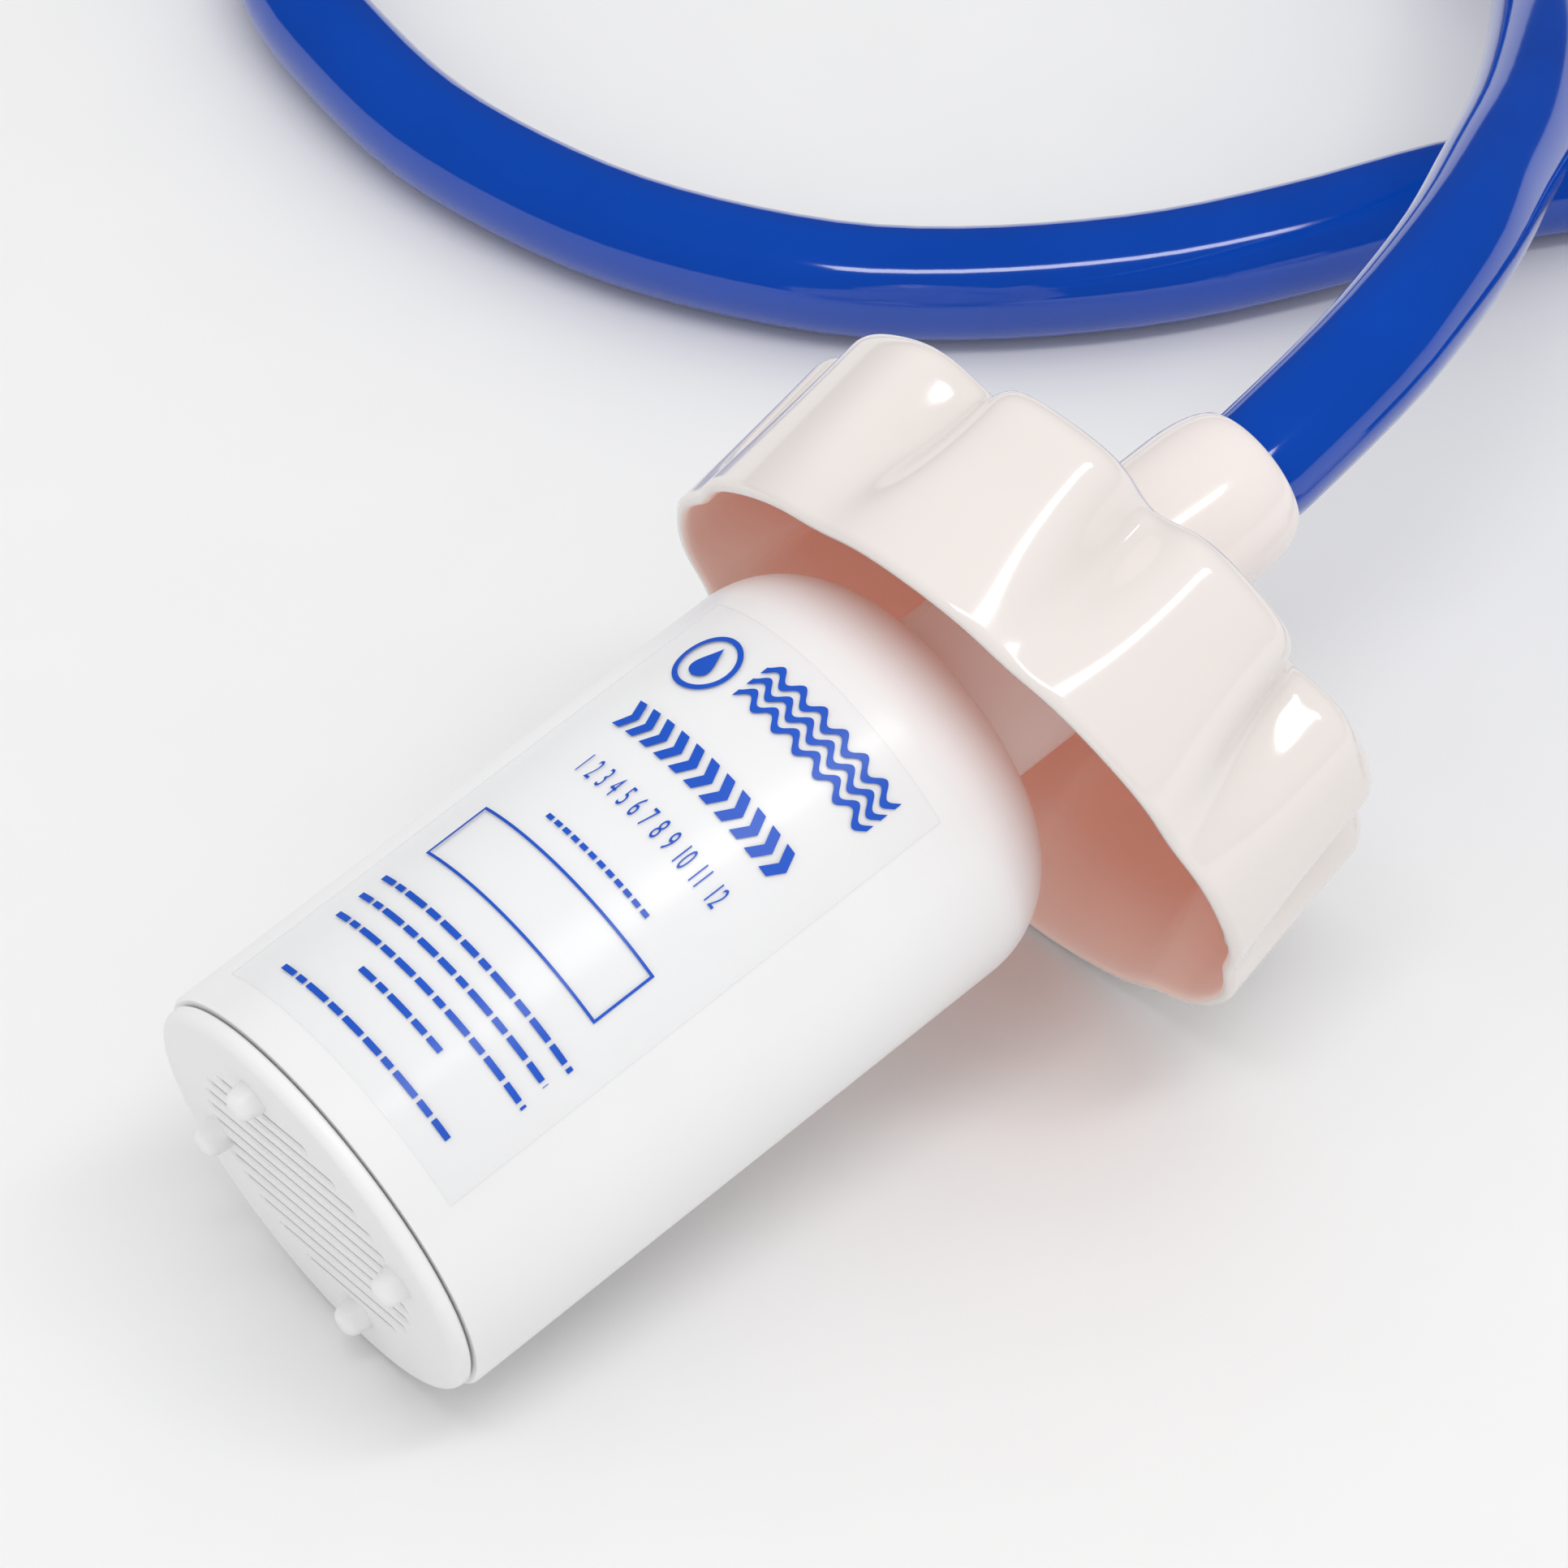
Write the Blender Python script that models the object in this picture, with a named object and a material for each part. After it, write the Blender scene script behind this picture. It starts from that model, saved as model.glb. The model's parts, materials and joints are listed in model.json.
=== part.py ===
"""Inline water filter for a camping water pump.

A carbon cartridge with a slotted end lies on its side.  Its neck is pushed onto a
spigot, and a thin scalloped grip cap floats on that spigot, loose enough to sit askew.
A blue hose leaves the boss behind the cap, makes one loop and ends in a connector.

Metres, +Z up.  The floor is Z = 0.  +X runs along the cartridge, from the slotted end
to the hose.  Lengths along the filter's own axis are counted from the cap's seat.
"""

import math

import bmesh
import bpy
from mathutils import Euler, Matrix, Vector

# Fits
FIT_GAP = 0.0003          # between pieces that touch
SEGMENTS = 48             # facets round the large turned pieces
SMALL_SEGMENTS = 28       # facets round the small turned pieces
PIN_SEGMENTS = 12         # facets round the feet and the small holes

# Cartridge shell
SHELL_DIAMETER = 0.057
SHELL_LENGTH = 0.0956      # seam to the top of the shoulder
SHELL_WALL = 0.002
SHOULDER_RADIUS = 0.014

# Slotted end of the cartridge
GRILLE_THICKNESS = 0.0022
GRILLE_EDGE_RADIUS = 0.0014
GRILLE_RIM_INSET = 0.0008
GRILLE_PLUG_LENGTH = 0.010
GRILLE_PLUG_WALL = 0.0012   # left under the seal's groove
SLOT_COUNT = 11
SLOT_PITCH = 0.0032
SLOT_WIDTH = 0.0011
SLOT_FIELD_DIAMETER = 0.0335
SLOT_ANGLE = math.radians(12)
FOOT_DIAMETER = 0.0046
FOOT_HEIGHT = 0.0030
FOOT_ROUND = 0.0009
FOOT_CIRCLE_DIAMETER = 0.0384   # the four feet stand on it, in line with the slots and across them
SEAL_SECTION = 0.0012     # cord diameter of the ring under the slotted end

# Filling
SCREEN_THICKNESS = 0.0008
PAD_THICKNESS = 0.004
SUPPORT_THICKNESS = 0.0022
SUPPORT_HOLE_DIAMETER = 0.0036
SUPPORT_HOLE_COUNT = 6    # round the one in the middle

# Neck of the cartridge
NECK_DIAMETER = 0.024
NECK_LENGTH = 0.0187      # shoulder to the end of the neck
NECK_FLANGE_WIDTH = 0.0034
NECK_FLANGE_THICKNESS = 0.0023

# Spigot
SPIGOT_DIAMETER = 0.016
SPIGOT_BORE = 0.0078
NOSE_SETBACK = 0.002      # nose tip inside the inner end of the neck
NOSE_CHAMFER = 0.0012
O_RING_SECTION = 0.0022
O_RING_SETBACK = 0.0045   # nose tip to the middle of the first ring
O_RING_SPACING = 0.0065
COLLAR_DIAMETER = 0.025
COLLAR_THICKNESS = 0.0025
TAIL_LENGTH = 0.014       # of the spigot inside the boss

# Grip cap
CAP_MOUTH_DIAMETER = 0.0911
CAP_BACK_DIAMETER = 0.0900
CAP_DEPTH = 0.0288
CAP_WALL = 0.0018
CAP_PLATE = 0.0024
CAP_BACK_ROUND = 0.0040
LOBE_COUNT = 9
GROOVE_DEPTH = 0.0064     # at the back; it fades towards the mouth
GROOVE_DEPTH_AT_MOUTH = 0.0012
GROOVE_HALF_ANGLE = math.radians(7)
GROOVE_PHASE = math.radians(23)   # from the near side, over the top
POINTS_PER_LOBE = 12
LUG_COUNT = 3
LUG_PHASE = math.radians(-12)     # from the near side, over the top
LUG_WIDTH = 0.0055
LUG_LENGTH = 0.0036
LUG_HEIGHT = 0.0018
LUG_SETBACK = 0.0024
CAP_YAW = math.radians(5.9)
CAP_PITCH = math.radians(19.4)
CAP_ROCK_LIMIT = math.radians(14)
WASHER_THICKNESS = 0.0012
WASHER_DIAMETER = 0.0242

# Boss and collet that hold the hose
BOSS_DIAMETER = 0.022
BOSS_LENGTH = 0.0209
BOSS_ROUND_LENGTH = 0.0085
BOSS_LIP = 0.0022
SNAP_RING_WIDTH = 0.001
SNAP_RING_DEPTH = 0.0005  # into the spigot and into the boss, each
SNAP_RING_SETBACK = 0.005
COLLET_THICKNESS = 0.0009

# Hose and its connector
HOSE_DIAMETER = 0.016
HOSE_STRAIGHT = 0.002     # from the boss, before the first route point
HOSE_POINT_SPACING = 0.025
CONNECTOR_SOCKET_LENGTH = 0.014
CONNECTOR_WALL = 0.0018
CONNECTOR_COLLAR_DIAMETER = 0.0202
CONNECTOR_COLLAR_LENGTH = 0.005
CONNECTOR_NOSE_DIAMETER = 0.0136
CONNECTOR_NOSE_LENGTH = 0.019
CONNECTOR_BORE = 0.0076
CONNECTOR_SEAL_SECTION = 0.002
CONNECTOR_SEAL_SETBACK = 0.006

# Label film round the upper side of the shell
FILM_THICKNESS = 0.0002
FILM_START = 0.005        # from the seam
FILM_LENGTH = 0.0745
FILM_FROM = math.radians(-54.5)   # round the shell, from the top towards the near side
FILM_TO = math.radians(34)
FILM_FACETS = 26

# Place of the cap's seat over the floor
SEAT_X = 0.0518
SEAT_Y = 0.0023

# The hose's route after its straight start, chosen by hand along the visible stretches
# and then round the loop: over its own tail, down to the floor, once round, under the
# start and round to the near side to the connector.  Each point is measured from the floor
# under the seat; the third value is the rise over lying flat.
HOSE_ROUTE = [
    (0.0410, 0.0019, 0.0517),
    (0.0528, 0.0047, 0.0527),
    (0.0721, 0.0128, 0.0507),
    (0.0889, 0.0229, 0.0462),
    (0.1070, 0.0346, 0.0402),
    (0.1261, 0.0497, 0.0327),
    (0.1451, 0.0672, 0.0237),
    (0.1615, 0.0860, 0.0157),
    (0.1740, 0.1085, 0.0082),
    (0.1820, 0.1335, 0.0030),
    (0.1853, 0.1600, 0.0007),
    (0.1850, 0.1845, 0.0),
    (0.1780, 0.2115, 0.0),
    (0.1630, 0.2350, 0.0),
    (0.1410, 0.2520, 0.0),
    (0.1145, 0.2600, 0.0),
    (0.0870, 0.2585, 0.0),
    (0.0615, 0.2480, 0.0),
    (0.0410, 0.2300, 0.0),
    (0.0265, 0.2065, 0.0),
    (0.0218, 0.1849, 0.0),
    (0.0212, 0.1612, 0.0),
    (0.0281, 0.1327, 0.0),
    (0.0416, 0.1085, 0.0),
    (0.0565, 0.0928, 0.0),
    (0.0785, 0.0782, 0.0),
    (0.1007, 0.0688, 0.0),
    (0.1274, 0.0600, 0.0),
    (0.1512, 0.0462, 0.0),
    (0.1676, 0.0240, 0.0),
    (0.1730, -0.0026, 0.0),
    (0.1673, -0.0294, 0.0),
    (0.1512, -0.0516, 0.0006),
    (0.1290, -0.0646, 0.0017),
    (0.1070, -0.0682, 0.0023),
    (0.0870, -0.0682, 0.0023),
]

# Sizes that follow from the ones above
SHELL_R = SHELL_DIAMETER / 2
SHELL_BORE_R = SHELL_R - SHELL_WALL
SPIGOT_R = SPIGOT_DIAMETER / 2
NECK_R = NECK_DIAMETER / 2
NECK_BORE_R = SPIGOT_R + 2 * FIT_GAP
CAP_TILT_ROOM = math.sin(CAP_ROCK_LIMIT)
CAP_HOLE_R = (SPIGOT_R + CAP_PLATE / 2 * CAP_TILT_ROOM) / math.cos(CAP_ROCK_LIMIT) + FIT_GAP
WASHER_REACH = CAP_PLATE / 2 + FIT_GAP + WASHER_THICKNESS
WASHER_BORE_R = (SPIGOT_R + WASHER_REACH * CAP_TILT_ROOM) / math.cos(CAP_ROCK_LIMIT) + FIT_GAP

# Stations along the axis, from the cap's seat; the cartridge lies on the negative side
COLLAR_BACK = -(COLLAR_DIAMETER / 2 * CAP_TILT_ROOM + WASHER_REACH + FIT_GAP)
COLLAR_FRONT = COLLAR_BACK - COLLAR_THICKNESS
NECK_END = COLLAR_FRONT - FIT_GAP
SHOULDER_TOP = NECK_END - NECK_LENGTH
SEAM = SHOULDER_TOP - SHELL_LENGTH
NECK_FLANGE_TOP = SHOULDER_TOP - SHELL_WALL - FIT_GAP
NECK_INNER_END = NECK_FLANGE_TOP - NECK_FLANGE_THICKNESS
NOSE_TIP = NECK_INNER_END + NOSE_SETBACK
GRILLE_FACE = SEAM - FIT_GAP - GRILLE_THICKNESS
BOSS_FRONT = BOSS_DIAMETER / 2 * CAP_TILT_ROOM + CAP_PLATE / 2 + 2 * FIT_GAP
BOSS_END = BOSS_FRONT + BOSS_LENGTH
TAIL_END = BOSS_FRONT + TAIL_LENGTH

# The cap's mouth and the lower edge of the seam both rest on the floor
MOUTH_DEPTH = CAP_DEPTH - CAP_PLATE / 2
SEAT_Z = CAP_MOUTH_DIAMETER / 2 * math.cos(CAP_PITCH) + MOUTH_DEPTH * math.sin(CAP_PITCH)
AXIS_PITCH = math.asin(SEAT_Z / math.hypot(SEAM, SHELL_R)) - math.atan2(SHELL_R, -SEAM)


def clear_scene():
    """Empty the scene without closing the file."""
    for leftover in list(bpy.data.objects):
        bpy.data.objects.remove(leftover, do_unlink=True)


def finish(name, colour, roughness, metallic=0.0, alpha=1.0):
    """A Principled material in one plain colour."""
    material = bpy.data.materials.new(name)
    material.use_nodes = True
    shader = material.node_tree.nodes["Principled BSDF"]
    shader.inputs["Base Color"].default_value = (*colour, 1.0)
    shader.inputs["Roughness"].default_value = roughness
    shader.inputs["Metallic"].default_value = metallic
    shader.inputs["Alpha"].default_value = alpha
    return material


def empty(name, location, rotation):
    """A marker that carries a joint's pieces on its axis."""
    marker = bpy.data.objects.new(name, None)
    marker.location = location
    marker.rotation_euler = rotation
    bpy.context.collection.objects.link(marker)
    return marker


def add_object(name, bm, material, parent):
    """Close a bmesh into a named, smooth-shaded object under its marker."""
    bmesh.ops.recalc_face_normals(bm, faces=bm.faces)
    mesh = bpy.data.meshes.new(name)
    bm.to_mesh(mesh)
    bm.free()
    mesh.shade_smooth()
    mesh.set_sharp_from_angle(angle=math.radians(35))
    piece = bpy.data.objects.new(name, mesh)
    piece.parent = parent
    if material is not None:
        mesh.materials.append(material)
    bpy.context.collection.objects.link(piece)
    return piece


def arc(centre_r, centre_z, radius_r, radius_z, start, end, steps):
    """Points of an elliptic arc in a turned profile, angles in degrees from outwards."""
    points = []
    for step in range(steps + 1):
        angle = math.radians(start + (end - start) * step / steps)
        points.append((centre_r + radius_r * math.cos(angle), centre_z + radius_z * math.sin(angle)))
    return points


def turned_mesh(profile, segments, closed):
    """Spin a profile of (radius, z) points round Z."""
    bm = bmesh.new()
    verts = [bm.verts.new((radius, 0.0, z)) for radius, z in profile]
    edges = [bm.edges.new(pair) for pair in zip(verts, verts[1:])]
    if closed:
        edges.append(bm.edges.new((verts[-1], verts[0])))
    bmesh.ops.spin(
        bm,
        geom=verts + edges,
        cent=(0, 0, 0),
        axis=(0, 0, 1),
        angle=math.tau,
        steps=segments,
        use_merge=True,
    )
    bmesh.ops.remove_doubles(bm, verts=bm.verts, dist=1e-6)
    return bm


def turned(name, profile, material, parent, segments=SMALL_SEGMENTS, closed=True):
    """A turned piece; an open profile starts and ends on the axis."""
    return add_object(name, turned_mesh(profile, segments, closed), material, parent)


def washer_profile(inner_r, outer_r, low, high):
    """Rectangular ring."""
    return [(outer_r, high), (outer_r, low), (inner_r, low), (inner_r, high)]


def disc_profile(radius, low, high):
    """Solid disc, from axis to axis."""
    return [(0.0, high), (radius, high), (radius, low), (0.0, low)]


def ring_profile(middle_r, z, section):
    """Round section of an O-ring."""
    return arc(middle_r, z, section / 2, section / 2, 90, -210, 5)


def tool(name, bm, parent):
    """A cutter or an added lump, which isn't a piece by itself."""
    piece = add_object(name, bm, None, parent)
    piece.hide_render = True
    piece.display_type = "WIRE"
    return piece


def boolean(piece, other, operation):
    """Cut or join with the exact solver."""
    modifier = piece.modifiers.new(other.name, "BOOLEAN")
    modifier.operation = operation
    modifier.solver = "EXACT"
    modifier.object = other


def add_cylinder(bm, radius, low, high, x, y, segments, tip_round=0.0):
    """A closed cylinder in a shared bmesh, rounded at its low end where asked."""
    profile = [(0.0, high), (radius, high)]
    if tip_round > 0.0:
        profile += arc(radius - tip_round, low + tip_round, tip_round, tip_round, 0, -90, 3)
    else:
        profile.append((radius, low))
    profile.append((0.0, low))
    lump = turned_mesh(profile, segments, closed=False)
    bmesh.ops.translate(lump, verts=lump.verts, vec=(x, y, 0.0))
    scratch = bpy.data.meshes.new("lump")
    lump.to_mesh(scratch)
    lump.free()
    bm.from_mesh(scratch)
    bpy.data.meshes.remove(scratch)


def build_shell(frame, material):
    """Cartridge shell: open at the slotted end, round shoulder, hole for the neck."""
    inner_shoulder = SHOULDER_RADIUS - SHELL_WALL
    hole_r = NECK_R + FIT_GAP
    shoulder_z = SHOULDER_TOP - SHOULDER_RADIUS
    outer = [(hole_r, SHOULDER_TOP)]
    outer += arc(SHELL_R - SHOULDER_RADIUS, shoulder_z, SHOULDER_RADIUS, SHOULDER_RADIUS, 90, 0, 8)
    outer.append((SHELL_R, SEAM))
    inner = [(SHELL_BORE_R, SEAM)]
    inner += arc(SHELL_R - SHOULDER_RADIUS, shoulder_z, inner_shoulder, inner_shoulder, 0, 90, 5)
    inner.append((hole_r, SHOULDER_TOP - SHELL_WALL))
    turned("cartridge_shell", outer + inner, material, frame, SEGMENTS)


def slot_cutter(frame):
    """Parallel slots, cut to the round field that they fill."""
    bm = bmesh.new()
    field_r = SLOT_FIELD_DIAMETER / 2
    depth = GRILLE_THICKNESS + 2 * FIT_GAP
    for index in range(SLOT_COUNT):
        across = (index - (SLOT_COUNT - 1) / 2) * SLOT_PITCH
        half_chord = math.sqrt(max(field_r ** 2 - across ** 2, SLOT_PITCH ** 2))
        slot = bmesh.ops.create_cube(bm, size=1.0)["verts"]
        size = Matrix.Diagonal((2 * half_chord, SLOT_WIDTH, depth, 1.0))
        place = Matrix.Translation((0.0, across, GRILLE_FACE + GRILLE_THICKNESS / 2))
        turn = Matrix.Rotation(math.pi / 2 - SLOT_ANGLE, 4, "Z")
        bmesh.ops.transform(bm, matrix=turn @ place @ size, verts=slot)
    return tool("slot_cutter", bm, frame)


def foot_lumps(frame):
    """Four short pegs that stand out of the slotted face."""
    bm = bmesh.new()
    reach = FOOT_CIRCLE_DIAMETER / 2
    low = GRILLE_FACE - FOOT_HEIGHT
    high = GRILLE_FACE + GRILLE_THICKNESS / 2
    for quarter in range(4):
        angle = quarter * math.pi / 2 - SLOT_ANGLE
        add_cylinder(bm, FOOT_DIAMETER / 2, low, high, reach * math.cos(angle), reach * math.sin(angle),
                     PIN_SEGMENTS, FOOT_ROUND)
    return tool("foot_lumps", bm, frame)


def build_grille_cap(frame, material, seal_material):
    """Slotted end: a round-edged disc with feet, plugged into the shell over a seal."""
    rim_r = SHELL_R - GRILLE_RIM_INSET
    disc_back = SEAM - FIT_GAP
    plug_r = SHELL_BORE_R - FIT_GAP
    groove_r = plug_r - FIT_GAP - SEAL_SECTION
    plug_inner_r = groove_r - GRILLE_PLUG_WALL
    groove_low = SEAM + GRILLE_PLUG_LENGTH / 2
    groove_high = groove_low + SEAL_SECTION + 2 * FIT_GAP
    profile = [(0.0, disc_back)]
    profile += [(plug_inner_r, disc_back), (plug_inner_r, SEAM + GRILLE_PLUG_LENGTH)]
    profile += [(plug_r, SEAM + GRILLE_PLUG_LENGTH), (plug_r, groove_high), (groove_r, groove_high)]
    profile += [(groove_r, groove_low), (plug_r, groove_low), (plug_r, disc_back), (rim_r, disc_back)]
    edge_z = GRILLE_FACE + GRILLE_EDGE_RADIUS
    profile += arc(rim_r - GRILLE_EDGE_RADIUS, edge_z, GRILLE_EDGE_RADIUS, GRILLE_EDGE_RADIUS, 0, -90, 4)
    profile.append((0.0, GRILLE_FACE))
    grille = turned("grille_cap", profile, material, frame, SEGMENTS, closed=False)
    boolean(grille, slot_cutter(frame), "DIFFERENCE")
    boolean(grille, foot_lumps(frame), "UNION")
    ring = ring_profile((groove_r + SHELL_BORE_R) / 2, (groove_low + groove_high) / 2, SEAL_SECTION)
    turned("grille_seal", ring, seal_material, frame, SEGMENTS)
    return plug_inner_r


def build_filling(frame, plug_inner_r, materials):
    """Screen, pads, carbon and the perforated disc, stacked from the slots to the neck."""
    bed_r = SHELL_BORE_R - FIT_GAP
    screen_low = SEAM + FIT_GAP
    screen_high = screen_low + SCREEN_THICKNESS
    pad_low = screen_high + FIT_GAP
    pad_high = pad_low + PAD_THICKNESS
    inside_r = plug_inner_r - FIT_GAP
    turned("grille_screen", disc_profile(inside_r, screen_low, screen_high), materials["screen"], frame,
           SEGMENTS, closed=False)
    turned("grille_pad", disc_profile(inside_r, pad_low, pad_high), materials["pad"], frame,
           SEGMENTS, closed=False)
    shoulder_inner = SHOULDER_RADIUS - SHELL_WALL
    shoulder_z = SHOULDER_TOP - SHOULDER_RADIUS

    def bore_radius(z):
        """Clear radius inside the shell at a station, round the shoulder too."""
        rise = max(z - shoulder_z, 0.0)
        drop = shoulder_inner - math.sqrt(max(shoulder_inner ** 2 - rise ** 2, 0.0))
        return bed_r - drop

    support_high = NECK_INNER_END - FIT_GAP
    support_low = support_high - SUPPORT_THICKNESS
    support_r = bore_radius(support_high)
    support = turned("support_disc", disc_profile(support_r, support_low, support_high), materials["disc"],
                     frame, SEGMENTS, closed=False)
    holes = bmesh.new()
    hole_r = SUPPORT_HOLE_DIAMETER / 2
    reach = NECK_BORE_R - hole_r - FIT_GAP
    places = [(0.0, 0.0)]
    for index in range(SUPPORT_HOLE_COUNT):
        angle = math.tau * index / SUPPORT_HOLE_COUNT
        places.append((reach * math.cos(angle), reach * math.sin(angle)))
    for x, y in places:
        add_cylinder(holes, hole_r, support_low - FIT_GAP, support_high + FIT_GAP, x, y, PIN_SEGMENTS)
    boolean(support, tool("support_holes", holes, frame), "DIFFERENCE")
    neck_pad_high = support_low - FIT_GAP
    neck_pad_low = neck_pad_high - PAD_THICKNESS
    turned("neck_pad", disc_profile(bore_radius(neck_pad_high), neck_pad_low, neck_pad_high),
           materials["pad"], frame, SEGMENTS, closed=False)
    bed_low = max(pad_high, SEAM + GRILLE_PLUG_LENGTH) + FIT_GAP
    bed_high = neck_pad_low - FIT_GAP
    bed = [(0.0, bed_high), (bore_radius(bed_high), bed_high)]
    bed += [(bed_r, min(shoulder_z, bed_high)), (bed_r, bed_low), (inside_r, bed_low)]
    bed += [(inside_r, pad_high + FIT_GAP), (0.0, pad_high + FIT_GAP)]
    turned("carbon_bed", bed, materials["carbon"], frame, SEGMENTS, closed=False)


def build_neck(frame, material):
    """Neck of the cartridge: a flange under the shoulder and a tube for the spigot."""
    flange_r = NECK_R + NECK_FLANGE_WIDTH
    lead_in = NECK_BORE_R + (NECK_R - NECK_BORE_R) / 3
    edge = (NECK_R - NECK_BORE_R) / 4
    profile = [(NECK_R - edge, NECK_END), (NECK_R, NECK_END - edge), (NECK_R, NECK_FLANGE_TOP)]
    profile += [(flange_r, NECK_FLANGE_TOP), (flange_r, NECK_INNER_END), (NECK_BORE_R, NECK_INNER_END)]
    profile += [(NECK_BORE_R, NECK_END - NECK_LENGTH / 8), (lead_in, NECK_END)]
    turned("neck_socket", profile, material, frame, SMALL_SEGMENTS)


def build_film(frame, material):
    """Clear label film bent round the upper side of the shell."""
    bm = bmesh.new()
    inner_r = SHELL_R + FIT_GAP
    outer_r = inner_r + FILM_THICKNESS
    low = SEAM + FILM_START
    high = low + FILM_LENGTH
    rows = []
    for step in range(FILM_FACETS + 1):
        angle = FILM_FROM + (FILM_TO - FILM_FROM) * step / FILM_FACETS
        out = Vector((-math.cos(angle), math.sin(angle), 0.0))
        corners = [out * inner_r, out * outer_r]
        row = [bm.verts.new((*corner.xy, z)) for z in (low, high) for corner in corners]
        rows.append(row)
    for near, far in zip(rows, rows[1:]):
        for first, second in ((0, 1), (1, 3), (3, 2), (2, 0)):
            bm.faces.new((near[first], near[second], far[second], far[first]))
    for end in (rows[0], rows[-1]):
        bm.faces.new((end[0], end[1], end[3], end[2]))
    add_object("label_film", bm, material, frame)


def build_spigot(frame, material, ring_material):
    """Spigot: a nose with two ring grooves, the collar and the tail in the boss."""
    bore_r = SPIGOT_BORE / 2
    ring_outer_r = NECK_BORE_R - FIT_GAP
    ring_middle_r = ring_outer_r - O_RING_SECTION / 2
    groove_r = ring_outer_r - O_RING_SECTION - FIT_GAP
    groove_half = O_RING_SECTION / 2 + FIT_GAP
    snap_low = BOSS_FRONT + SNAP_RING_SETBACK - FIT_GAP
    snap_high = snap_low + SNAP_RING_WIDTH + 2 * FIT_GAP
    snap_r = SPIGOT_R - SNAP_RING_DEPTH - FIT_GAP
    rings = [NOSE_TIP + O_RING_SETBACK, NOSE_TIP + O_RING_SETBACK + O_RING_SPACING]
    profile = [(bore_r, TAIL_END), (SPIGOT_R, TAIL_END), (SPIGOT_R, snap_high), (snap_r, snap_high)]
    profile += [(snap_r, snap_low), (SPIGOT_R, snap_low), (SPIGOT_R, COLLAR_BACK)]
    profile += [(COLLAR_DIAMETER / 2, COLLAR_BACK), (COLLAR_DIAMETER / 2, COLLAR_FRONT)]
    profile.append((SPIGOT_R, COLLAR_FRONT))
    for middle in reversed(rings):
        profile += [(SPIGOT_R, middle + groove_half), (groove_r, middle + groove_half)]
        profile += [(groove_r, middle - groove_half), (SPIGOT_R, middle - groove_half)]
    profile += [(SPIGOT_R, NOSE_TIP + NOSE_CHAMFER), (SPIGOT_R - NOSE_CHAMFER, NOSE_TIP)]
    profile.append((bore_r, NOSE_TIP))
    turned("hose_spigot", profile, material, frame)
    for name, middle in zip(("front_o_ring", "rear_o_ring"), rings):
        turned(name, ring_profile(ring_middle_r, middle, O_RING_SECTION), ring_material, frame)


def build_boss(frame, material, ring_material, collet_material):
    """Rounded boss behind the cap, its snap ring on the spigot and the hose's collet."""
    boss_r = BOSS_DIAMETER / 2
    tail_bore_r = SPIGOT_R + FIT_GAP
    hose_bore_r = HOSE_DIAMETER / 2 + FIT_GAP
    ring_low = BOSS_FRONT + SNAP_RING_SETBACK
    ring_high = ring_low + SNAP_RING_WIDTH
    ring_inner_r = SPIGOT_R - SNAP_RING_DEPTH
    ring_outer_r = tail_bore_r + SNAP_RING_DEPTH
    ring_groove_r = ring_outer_r + FIT_GAP
    collet_outer_r = hose_bore_r + COLLET_THICKNESS
    recess_r = collet_outer_r + FIT_GAP
    recess_low = TAIL_END + FIT_GAP
    recess_high = BOSS_END - BOSS_LIP
    lip_r = hose_bore_r + FIT_GAP
    round_z = BOSS_END - BOSS_ROUND_LENGTH
    edge = (boss_r - tail_bore_r) / 4
    profile = arc(lip_r, round_z, boss_r - lip_r, BOSS_ROUND_LENGTH, 82, 0, 6)
    profile += [(boss_r, BOSS_FRONT + edge), (boss_r - edge, BOSS_FRONT), (tail_bore_r, BOSS_FRONT)]
    profile += [(tail_bore_r, ring_low - FIT_GAP), (ring_groove_r, ring_low - FIT_GAP)]
    profile += [(ring_groove_r, ring_high + FIT_GAP), (tail_bore_r, ring_high + FIT_GAP)]
    profile += [(tail_bore_r, recess_low), (recess_r, recess_low), (recess_r, recess_high)]
    profile += [(hose_bore_r, recess_high), (hose_bore_r, profile[0][1])]
    turned("hose_boss", profile, material, frame)
    snap = washer_profile(ring_inner_r, ring_outer_r, ring_low, ring_high)
    turned("boss_snap_ring", snap, ring_material, frame)
    collet = washer_profile(hose_bore_r, collet_outer_r, recess_low + FIT_GAP, recess_high - FIT_GAP)
    turned("hose_collet", collet, collet_material, frame)


def groove_share(angle):
    """1 in the middle of a groove of the cap, falling to 0 on the lobes."""
    pitch = math.tau / LOBE_COUNT
    off = (angle - GROOVE_PHASE + pitch / 2) % pitch - pitch / 2
    return math.exp(-((off / GROOVE_HALF_ANGLE) ** 2))


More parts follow.
